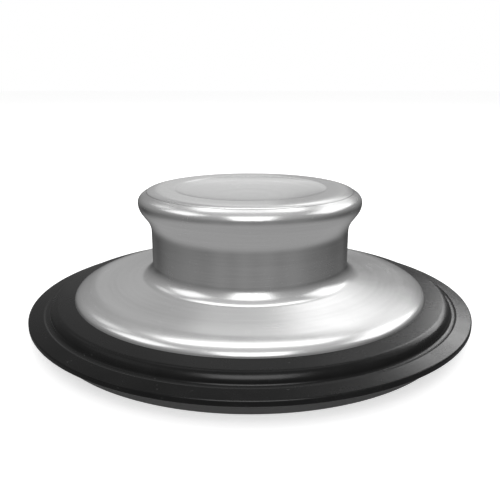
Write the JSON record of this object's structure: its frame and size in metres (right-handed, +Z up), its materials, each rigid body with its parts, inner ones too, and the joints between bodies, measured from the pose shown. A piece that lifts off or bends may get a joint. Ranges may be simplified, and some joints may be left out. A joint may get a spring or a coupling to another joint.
{
  "type": "sink drain stopper",
  "caption": "Round sink-drain stopper: dished, flared steel knob on a wide steel flange over a stepped rubber seal with a thin lip and a plug ring below.",
  "frame": {"origin": "on the stopper's axis, in the plane of the plug ring's lower rim, which it stands on", "axes": "+Z up the axis, from the plug ring to the knob; X and Y are free directions of the round part"},
  "size_m": [0.086, 0.086, 0.0267],
  "materials": {
    "satin_steel": "satin stainless steel, finely turned in rings, smooth and quite glossy",
    "plain_steel": "bright rolled and turned stainless fastener",
    "black_rubber": "black moulded rubber, semi-gloss",
    "grey_plastic": "dark grey moulded plastic, fine grain",
    "white_plastic": "unpainted off-white moulded plastic",
    "brass": "turned brass"
  },
  "bodies": {
    "root": {"knob_cap": "satin_steel", "knob_and_flange_shell": "satin_steel", "knob_core": "white_plastic", "threaded_insert": "brass", "rubber_seal": "black_rubber", "plug_ring": "grey_plastic", "sealing_washer": "black_rubber", "flat_washer": "plain_steel", "split_washer": "plain_steel", "retaining_screw": "plain_steel"}
  },
  "joints": []
}
